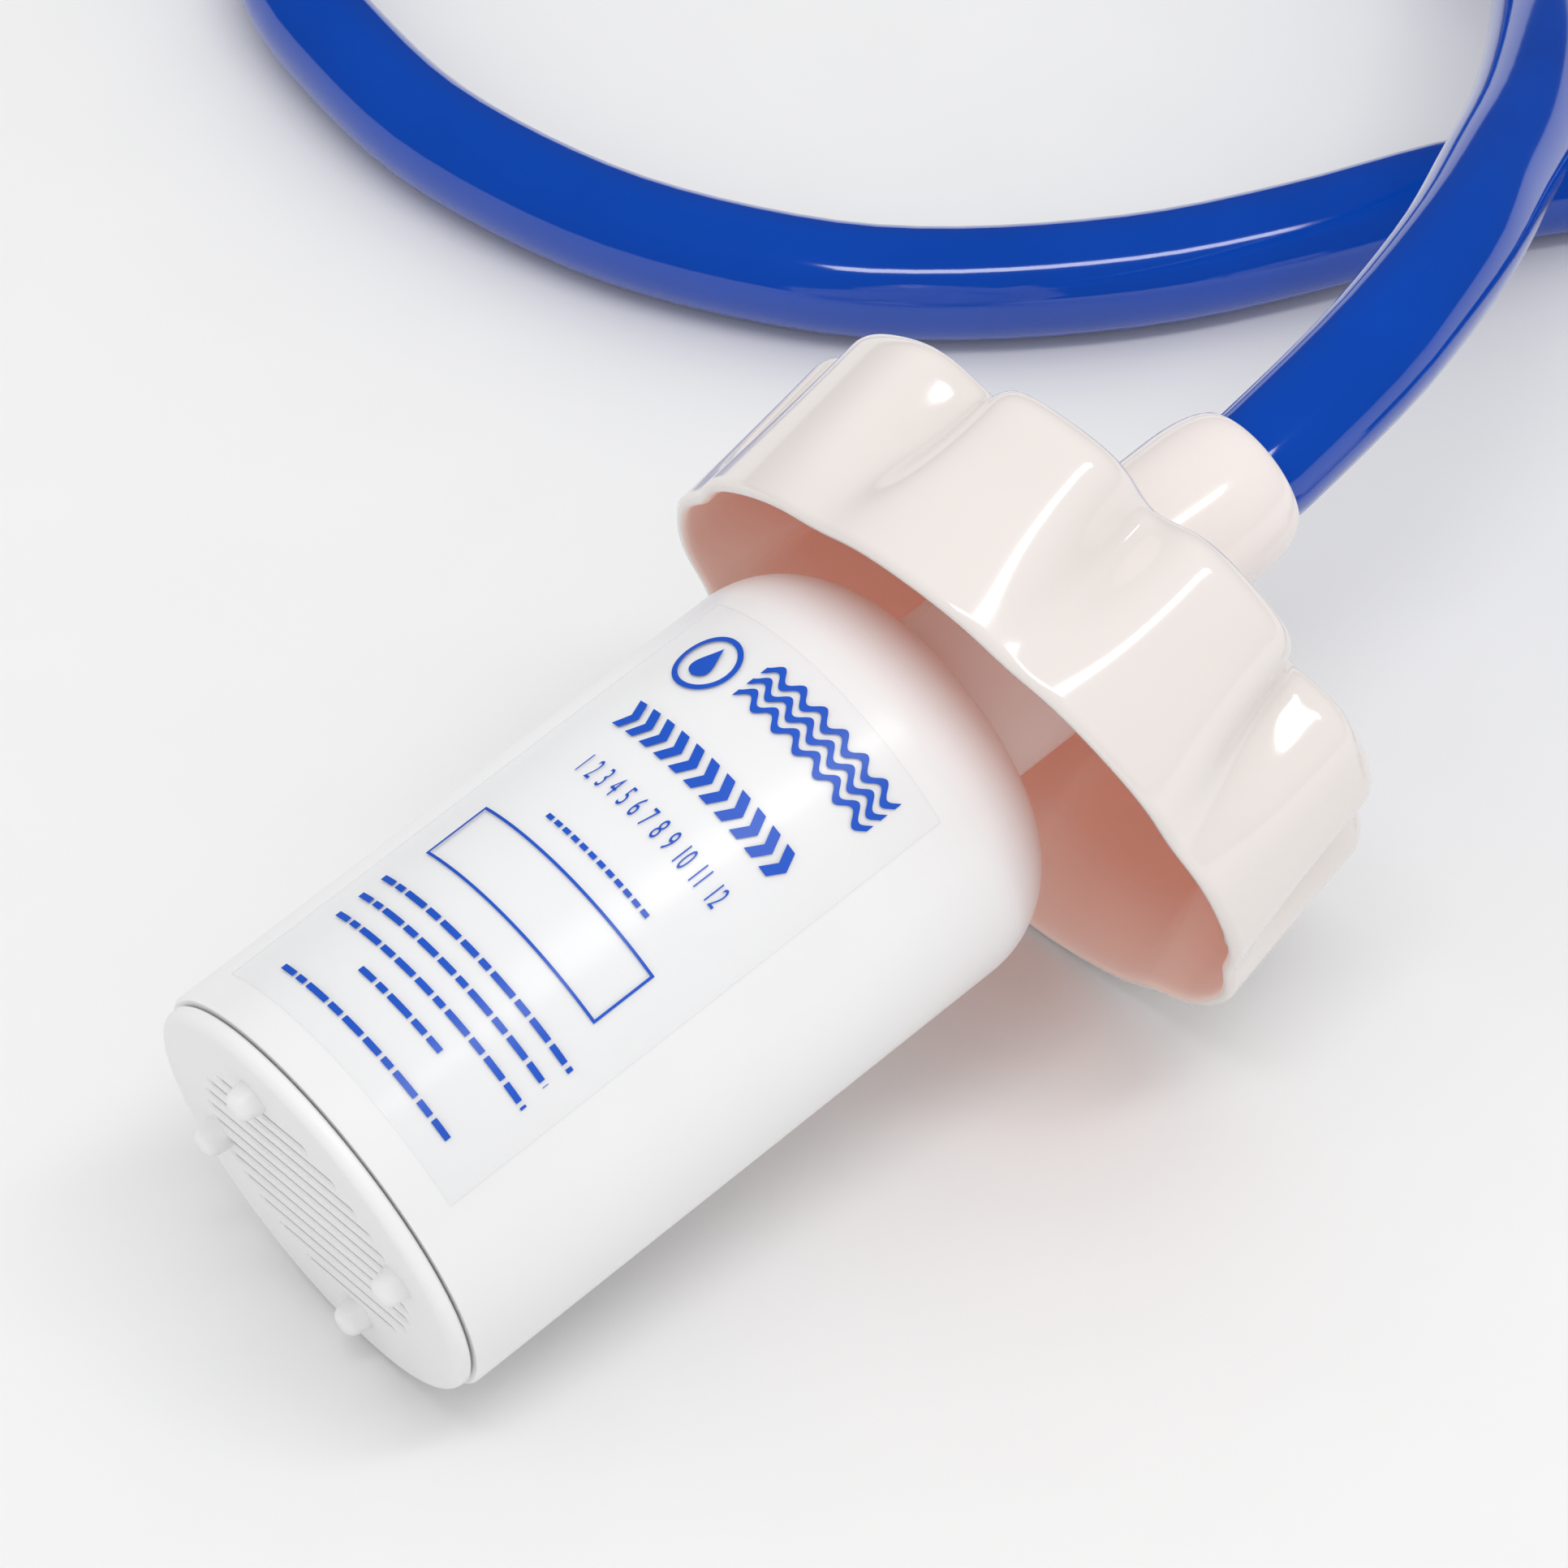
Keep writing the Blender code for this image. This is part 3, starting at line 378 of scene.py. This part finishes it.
degrees_per_mm = math.degrees(0.001 / ink_r)
badge_angle, badge_station = -14.6, 71.4
ring_turns = [math.tau * step / 48 for step in range(49)]
ring_runs = []
for radius in (3.75, 4.5):
    run = []
    for turn in ring_turns:
        angle = badge_angle + radius * math.sin(turn) * degrees_per_mm
        run.append((angle, badge_station + radius * math.cos(turn)))
    ring_runs.append(run)
strip(*ring_runs)
drop_steps = [step / 20 for step in range(21)]
drop_runs = [], []
for share in drop_steps:
    width = 1.9 * math.sin(math.pi * share ** 0.62) * (1.0 - 0.45 * share) + 0.01
    level = badge_station - 2.5 + 5.2 * share
    drop_runs[0].append((badge_angle - width * degrees_per_mm, level))
    drop_runs[1].append((badge_angle + width * degrees_per_mm, level))
strip(*drop_runs)
for level in (71.2, 73.4, 75.6):
    angles = [-1.4 + 46.6 * step / 90 for step in range(91)]
    crest = [level + 0.75 * math.sin(a * 0.85) for a in angles]
    strip([(a, c - 0.55) for a, c in zip(angles, crest)], [(a, c + 0.55) for a, c in zip(angles, crest)])
for index in range(11):
    left = -18.4 + index * 5.45
    lean = 2.3
    width = 2.9
    strip([(left, 58.0), (left + width, 58.0)], [(left + lean, 60.25), (left + lean + width, 60.25)])
    strip([(left + lean, 60.25), (left + lean + width, 60.25)], [(left, 62.5), (left + width, 62.5)])
for index in range(12):
    left = -6.5 + index * 3.1
    bar(left, left + 2.1, 43.4, 44.1)
for low, high in ((30.9, 31.3), (39.7, 40.1)):
    bar(-22.2, 41.5, low, high)
for left in (-22.2, 40.8):
    bar(left, left + 0.7, 31.3, 39.7)
for station, first, last in ((25.0, -25.0, 47.0), (21.6, -25.0, 46.0), (18.0, -24.5, 47.0),
                             (14.3, -4.0, 25.0), (8.7, -20.6, 41.8)):
    left = first
    count = 0
    while left < last:
        right = min(left + (5.2, 3.1, 7.4, 4.2, 6.3)[count % 5], last)
        bar(left, right, station, station + 0.85)
        left = right + 1.2
        count += 1
numbers = bpy.data.curves.new("numbers", "FONT")
numbers.body = "1  2  3  4  5  6  7  8  9  10  11  12"
numbers.size = 1.0
lettering = bpy.data.objects.new("numbers", numbers)
bpy.context.scene.collection.objects.link(lettering)
number_shapes = lettering.evaluated_get(bpy.context.evaluated_depsgraph_get())
number_mesh = bpy.data.meshes.new_from_object(number_shapes)
bpy.data.objects.remove(lettering)
number_width = max(vertex.co.x for vertex in number_mesh.vertices)
number_height = max(vertex.co.y for vertex in number_mesh.vertices)
for vertex in number_mesh.vertices:
    angle = -13.6 + 50.9 * vertex.co.x / number_width
    station = 50.3 + 3.1 * vertex.co.y / number_height
    vertex.co = on_shell(math.radians(angle), station / 1000, ink_r)
ink.from_mesh(number_mesh)
bpy.data.meshes.remove(number_mesh)
prints = add_piece("film_print", ink, filter_place, blue_ink)
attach(prints, "cartridge")


# ---- Spigot and its rings --------------------------------------------------------------------
# A white moulded tube that plugs into the neck and seals there on two rubber rings; its collar
# carries the grip cap.  The cap and the neck hide it until the plug is pulled.
spigot_white = moulded("spigot white", (0.84, 0.78, 0.76), 0.3, mottle=0.02)
spigot_outline = eased(section("hose_spigot", filter_place), 0.0003)
spigot = turned("spigot_tube", spigot_outline, filter_place, spigot_white)
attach(spigot, "plug")
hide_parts("hose_spigot")
for node in ("front_o_ring", "rear_o_ring"):
    first, last, outer_r = reach(node, filter_place)
    half = (last - first) / 2
    ring_outline = arc(outer_r - half, first + half, half, 0, 345, 23)
    ring = turned(node + "_round", ring_outline, filter_place, black_rubber)
    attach(ring, "plug")
    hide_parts(node)


# ---- Thrust washer ---------------------------------------------------------------------------
# A thin acetal washer between the spigot's collar and the cap; it rocks with the cap, whose own
# axis is askew to the filter's.
cap_along = Vector(joints["cap_turn"]["axis"]).normalized()
cap_near = Vector((cap_along.y, -cap_along.x, 0.0)).normalized()
cap_place = Matrix((cap_near.cross(cap_along), cap_near, cap_along)).transposed().to_4x4()
cap_place.translation = seat
acetal = moulded("grey acetal", (0.45, 0.46, 0.48), 0.4, mottle=0.05)
washer_outline = eased(section("thrust_washer", cap_place), 0.0002)
washer = turned("thrust_washer_ring", washer_outline, cap_place, acetal)
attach(washer, "swivel")
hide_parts("thrust_washer")


# ---- Grip cap --------------------------------------------------------------------------------
# A thin glossy cap with nine lobes to grip, moulded in a warm translucent white. Inside, the light
# through the wall is painted: a salmon tone, paler towards the mouth, and a faint painted glow.
# Three small lugs stand inside its open mouth, and it turns loosely on the spigot.
cap_mouth_r = 0.04555
cap_back_r = 0.0450
cap_plate = 0.0024
cap_wall = 0.0018
cap_round = 0.0040
cap_mouth, cap_top = reach("grip_cap", cap_place)[:2]
cap_solid = frame["nodes"]["grip_cap"].data.vertices
cap_hole_r = min((cap_place.inverted() @ vertex.co).xy.length for vertex in cap_solid)
lobe_count = 9
groove_depth = 0.0064
groove_at_mouth = 0.0012
groove_half_angle = math.radians(7)
groove_phase = math.radians(23)
columns = lobe_count * 44


def groove_share(angle):
    """1 in the middle of a groove, falling to 0 on the lobes."""
    pitch = math.tau / lobe_count
    off = (angle - groove_phase + pitch / 2) % pitch - pitch / 2
    return math.exp(-((off / groove_half_angle) ** 2))


def cap_side(inset, plate_z, round_r, arc_steps, skirt_steps):
    """Rows (radius, station, groove depth) from the hole over the back and down to the mouth."""
    round_z = cap_top - cap_round
    middle_r = cap_back_r - cap_round
    rows = [(cap_hole_r, plate_z, 0.0), (cap_hole_r + 0.012, plate_z, 0.0)]
    for step in range(arc_steps + 1):
        turn = math.pi / 2 * step / arc_steps
        rows.append((middle_r + round_r * math.sin(turn), round_z + round_r * math.cos(turn), groove_depth))
    for step in range(1, skirt_steps + 1):
        share = step / skirt_steps
        fade = groove_depth + (groove_at_mouth - groove_depth) * share ** 2 * (3 - 2 * share)
        rows.append((cap_back_r + (cap_mouth_r - cap_back_r) * share - inset,
                     round_z - (round_z - cap_mouth) * share, fade))
    return rows


cap_gloss = moulded("cap gloss", (0.80, 0.745, 0.715), 0.14, mottle=0.012, grain=0.02,
                    grain_scale=300.0, coat=0.35)
# Painted light: the salmon inner colour stands in for light shining through the thin wall.
cap_inside_painted_glow = moulded("cap inside painted glow", (0.70, 0.36, 0.28), 0.32, mottle=0.03, grain=0.03)
depth_nodes = cap_inside_painted_glow.node_tree.nodes
depth_links = cap_inside_painted_glow.node_tree.links
depth_axes = depth_nodes.new("ShaderNodeSeparateXYZ")
depth_links.new(depth_nodes["Texture Coordinate"].outputs["Object"], depth_axes.inputs["Vector"])
depth_range = depth_nodes.new("ShaderNodeMapRange")
depth_range.inputs["From Min"].default_value = cap_mouth
depth_range.inputs["From Max"].default_value = cap_top - cap_plate
depth_links.new(depth_axes.outputs["Z"], depth_range.inputs["Value"])
# Painted glow, paler near the mouth and deeper salmon towards the back plate.
painted_glow_tone = depth_nodes.new("ShaderNodeValToRGB")
painted_glow_tone.color_ramp.elements[0].color = (0.84, 0.62, 0.55, 1.0)
painted_glow_tone.color_ramp.elements[1].color = (0.80, 0.43, 0.34, 1.0)
painted_glow_tone.color_ramp.elements[1].position = 0.55
depth_links.new(depth_range.outputs["Result"], painted_glow_tone.inputs["Fac"])
depth_links.new(painted_glow_tone.outputs["Color"], depth_nodes["Principled BSDF"].inputs["Base Color"])
depth_links.new(painted_glow_tone.outputs["Color"], depth_nodes["Principled BSDF"].inputs["Emission Color"])
# Painted glow: a faint emission in the salmon tone, though the cap is no lamp.
depth_nodes["Principled BSDF"].inputs["Emission Strength"].default_value = 0.11
outer_rows = cap_side(0.0, cap_top, cap_round, 10, 16)
inner_rows = cap_side(cap_wall, cap_top - cap_plate, cap_round - cap_plate, 6, 16)
rim = 0.0005
outer_rows[-1] = (outer_rows[-1][0], cap_mouth + rim, outer_rows[-1][2])
inner_rows[-1] = (inner_rows[-1][0], cap_mouth + rim, inner_rows[-1][2])
rim_rows = [(cap_mouth_r - rim, cap_mouth, groove_at_mouth)]
rim_rows.append((cap_mouth_r - cap_wall + rim, cap_mouth, groove_at_mouth))
cap_rows = outer_rows + rim_rows + inner_rows[::-1]
cap_bm = bmesh.new()
cap_loops = []
for radius, station, depth in cap_rows:
    loop = []
    for step in range(columns):
        angle = math.tau * step / columns
        out = radius - depth * groove_share(angle)
        loop.append(cap_bm.verts.new((out * math.sin(angle), out * math.cos(angle), station)))
    cap_loops.append(loop)
first_inner = len(outer_rows) + 1
for index, (here, there) in enumerate(zip(cap_loops, cap_loops[1:] + cap_loops[:1])):
    for step in range(columns):
        after = (step + 1) % columns
        face = cap_bm.faces.new((here[step], here[after], there[after], there[step]))
        face.material_index = 1 if first_inner <= index < len(cap_loops) - 1 else 0
lug_phase = math.radians(-12)
lug_width, lug_length, lug_height, lug_setback = 0.0055, 0.0036, 0.0018, 0.0024
for index in range(3):
    angle = lug_phase + math.tau * index / 3
    lug = bmesh.ops.create_cube(cap_bm, size=1.0)["verts"]
    wall_r = cap_mouth_r - cap_wall / 2 - 1.6 * groove_at_mouth * groove_share(angle)
    lug_reach = lug_height + cap_wall / 2
    lug_station = cap_mouth + lug_setback + lug_length / 2
    size = Matrix.Diagonal((lug_reach, lug_width, lug_length, 1.0))
    middle = Matrix.Translation((wall_r - lug_reach / 2, 0.0, lug_station))
    turn = Matrix.Rotation(math.pi / 2 - angle, 4, "Z")
    bmesh.ops.transform(cap_bm, matrix=turn @ middle @ size, verts=lug)
    edges = list({edge for vert in lug for edge in vert.link_edges})
    bmesh.ops.bevel(cap_bm, geom=edges, offset=0.0005, segments=3, profile=0.5, affect="EDGES")
cap = add_piece("grip_cap_lobed", cap_bm, cap_place, cap_gloss, sharp=50)
cap.data.materials.append(cap_inside_painted_glow)
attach(cap, "cap")
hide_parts("grip_cap")


# ---- Boss, snap ring and collet --------------------------------------------------------------
# A rounded glossy boss that holds the hose on the spigot's tail: a spring ring keeps the boss on
# the tail and a split grey collet grips the hose.
boss_white = moulded("boss white", (0.86, 0.79, 0.765), 0.18, mottle=0.015, grain=0.02, coat=0.3)
spring_steel = moulded("spring steel", (0.62, 0.63, 0.65), 0.25, mottle=0.08)
spring_steel.node_tree.nodes["Principled BSDF"].inputs["Metallic"].default_value = 1.0
for node, name, material, slot_name, ease in (
        ("hose_boss", "boss_rounded", boss_white, "grip_white", 0.0004),
        ("boss_snap_ring", "snap_ring_steel", spring_steel, "spring_steel", 0.0001),
        ("hose_collet", "collet_grey_ring", acetal, "collet_grey", 0.0002)):
    piece = turned(name, eased(section(node, filter_place), ease), filter_place, material)
    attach(piece, "plug")
    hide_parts(node)


# ---- Hose ------------------------------------------------------------------------------------
# Glossy blue extruded hose, 16 mm outside.  It leaves the boss, arches over its own tail, lies
# once round on the floor, comes back under its start and ends beside the cap.
hose_diameter = 0.016
boss_end = reach("hose_boss", filter_place)[1]
hose_leaves = seat + along * boss_end
hose_inside = hose_leaves - along * 0.0068
hose_free = hose_leaves + along * 0.002
hose_flat = Vector((seat.x, seat.y, hose_diameter / 2 + 0.0003))
hose_route = [
    (0.0410, 0.0019, 0.0517), (0.0528, 0.0047, 0.0527), (0.0721, 0.0128, 0.0507), (0.0889, 0.0229, 0.0462),
    (0.1070, 0.0346, 0.0402), (0.1261, 0.0497, 0.0327), (0.1451, 0.0672, 0.0237), (0.1615, 0.0860, 0.0157),
    (0.1740, 0.1085, 0.0082), (0.1820, 0.1335, 0.0030), (0.1853, 0.1600, 0.0007), (0.1850, 0.1845, 0.0),
    (0.1780, 0.2115, 0.0), (0.1630, 0.2350, 0.0), (0.1410, 0.2520, 0.0), (0.1145, 0.2600, 0.0),
    (0.0870, 0.2585, 0.0), (0.0615, 0.2480, 0.0), (0.0410, 0.2300, 0.0), (0.0265, 0.2065, 0.0),
    (0.0218, 0.1849, 0.0), (0.0212, 0.1612, 0.0), (0.0281, 0.1327, 0.0), (0.0416, 0.1085, 0.0),
    (0.0565, 0.0928, 0.0), (0.0785, 0.0782, 0.0), (0.1007, 0.0688, 0.0), (0.1274, 0.0600, 0.0),
    (0.1512, 0.0462, 0.0), (0.1676, 0.0240, 0.0), (0.1730, -0.0026, 0.0), (0.1673, -0.0294, 0.0),
    (0.1512, -0.0516, 0.0006), (0.1290, -0.0646, 0.0017), (0.1070, -0.0682, 0.0023), (0.0870, -0.0682, 0.0023),
]


def smooth_route(before, points, after, spacing):
    """Points at an even spacing along a smooth curve through the route's own points."""
    ends = [before] + points + [after]
    fine = []
    for previous, start, end, following in zip(ends, ends[1:], ends[2:], ends[3:]):
        slope_in = (end - previous) / 2
        slope_out = (following - start) / 2
        for step in range(24):
            t = step / 24
            fine.append(start * (2 * t ** 3 - 3 * t ** 2 + 1) + slope_in * (t ** 3 - 2 * t ** 2 + t)
                        + end * (3 * t ** 2 - 2 * t ** 3) + slope_out * (t ** 3 - t ** 2))
    fine.append(points[-1])
    lengths = [0.0]
    for here, there in zip(fine, fine[1:]):
        lengths.append(lengths[-1] + (there - here).length)
    count = round(lengths[-1] / spacing)
    even = []
    index = 0
    for step in range(count + 1):
        want = lengths[-1] * step / count
        while index < len(fine) - 2 and lengths[index + 1] < want:
            index += 1
        share = (want - lengths[index]) / (lengths[index + 1] - lengths[index])
        even.append(fine[index].lerp(fine[index + 1], share))
    return even


hose_blue = moulded("hose blue", (0.002, 0.055, 0.40), 0.09, mottle=0.05, grain=0.02,
                    grain_scale=200.0, coat=0.4)
route = [hose_flat + Vector(point) for point in hose_route]
hose_points = [hose_inside, hose_leaves]
hose_points += smooth_route(hose_leaves, [hose_free] + route[:-1], route[-1], 0.006)
hose_points.append(route[-1])
hose_curve = bpy.data.curves.new("blue_hose", "CURVE")
hose_curve.dimensions = "3D"
hose_curve.bevel_depth = hose_diameter / 2
hose_curve.bevel_resolution = 12
hose_curve.use_fill_caps = True
hose_spline = hose_curve.splines.new("POLY")
hose_spline.points.add(len(hose_points) - 1)
for spot, point in zip(hose_spline.points, hose_points):
    spot.co = (*point, 1.0)
hose_spline.use_smooth = True
hose_curve.materials.append(hose_blue)
hose = bpy.data.objects.new("blue_hose", hose_curve)
bpy.context.scene.collection.objects.link(hose)
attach(hose, "plug")
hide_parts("hose")


# ---- Connector -------------------------------------------------------------------------------
# A straight white push-in connector on the hose's far end, with one rubber ring on its nose.  It
# lies outside the view, so its form is the plain one that such hoses have.
hose_heading = (hose_points[-1] - hose_points[-2]).normalized()
connector_place = hose_heading.to_track_quat("Z", "X").to_matrix().to_4x4()
connector_place.translation = hose_points[-1]
connector_white = moulded("connector white", (0.84, 0.84, 0.845), 0.32, mottle=0.015)
connector_outline = eased(section("pump_connector", connector_place), 0.0004)
connector = turned("connector_body", connector_outline, connector_place, connector_white)
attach(connector, "plug")
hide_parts("pump_connector")
first, last, outer_r = reach("connector_seal", connector_place)
half = (last - first) / 2
seal_outline = arc(outer_r - half, first + half, half, 0, 345, 23)
connector_ring = turned("connector_ring", seal_outline, connector_place, black_rubber)
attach(connector_ring, "plug")
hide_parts("connector_seal")


# ---- Studio ----------------------------------------------------------------------------------
# A pale seamless floor, an even white surround and one large soft lamp from above and in front;
# the camera looks down the filter's near side with a long lens.
floor_bm = bmesh.new()
bmesh.ops.create_grid(floor_bm, x_segments=8, y_segments=8, size=4.0)
floor_paper = moulded("studio paper", (0.84, 0.84, 0.84), 0.9, mottle=0.004, grain=0.0)
floor = add_piece("studio_floor", floor_bm, Matrix.Translation((0.0, 0.0, -0.0001)), floor_paper)

surround = bpy.data.worlds.new("surround")
surround.use_nodes = True
bpy.context.scene.world = surround
air = surround.node_tree.nodes
air_links = surround.node_tree.links
fill = air["Background"]
fill.inputs["Color"].default_value = (1.0, 1.0, 1.0, 1.0)
fill.inputs["Strength"].default_value = 0.87
seen = air.new("ShaderNodeBackground")
seen.inputs["Color"].default_value = (0.84, 0.84, 0.84, 1.0)
seen.inputs["Strength"].default_value = 1.0
mirrored = air.new("ShaderNodeBackground")
mirrored.inputs["Color"].default_value = (1.0, 1.0, 1.0, 1.0)
mirrored.inputs["Strength"].default_value = 0.05
rays = air.new("ShaderNodeLightPath")
direct = air.new("ShaderNodeMath")
direct.operation = "MAXIMUM"
air_links.new(rays.outputs["Is Camera Ray"], direct.inputs[0])
air_links.new(rays.outputs["Is Transmission Ray"], direct.inputs[1])
by_glance = air.new("ShaderNodeMixShader")
air_links.new(rays.outputs["Is Glossy Ray"], by_glance.inputs["Fac"])
air_links.new(fill.outputs["Background"], by_glance.inputs[1])
air_links.new(mirrored.outputs["Background"], by_glance.inputs[2])
choose = air.new("ShaderNodeMixShader")
air_links.new(direct.outputs["Value"], choose.inputs["Fac"])
air_links.new(by_glance.outputs["Shader"], choose.inputs[1])
air_links.new(seen.outputs["Background"], choose.inputs[2])
air_links.new(choose.outputs["Shader"], air["World Output"].inputs["Surface"])

key = bpy.data.lights.new("key", "AREA")
key.shape = "RECTANGLE"
key.size = 0.90
key.size_y = 0.14
key.energy = 3.4
key_target = seat + Vector((0.07, 0.085, -0.03))
key_direction = Vector((-0.167, -0.386, 0.905)).normalized()
key_lamp = bpy.data.objects.new("key", key)
key_lamp.location = key_target + key_direction * 1.1
key_lamp.rotation_euler = key_direction.to_track_quat("Z", "Y").to_euler()
bpy.context.scene.collection.objects.link(key_lamp)

lens = bpy.data.cameras.new("camera")
lens.lens = 149.07
lens.sensor_width = 36.0
lens.clip_start = 0.05
camera = bpy.data.objects.new("camera", lens)
camera.location = seat + Vector((-0.39845, -0.41965, 0.55328))
camera.rotation_euler = (math.radians(44.509), 0.0, math.radians(-39.666))
bpy.context.scene.collection.objects.link(camera)
bpy.context.scene.camera = camera
bpy.context.scene.view_settings.view_transform = "Standard"
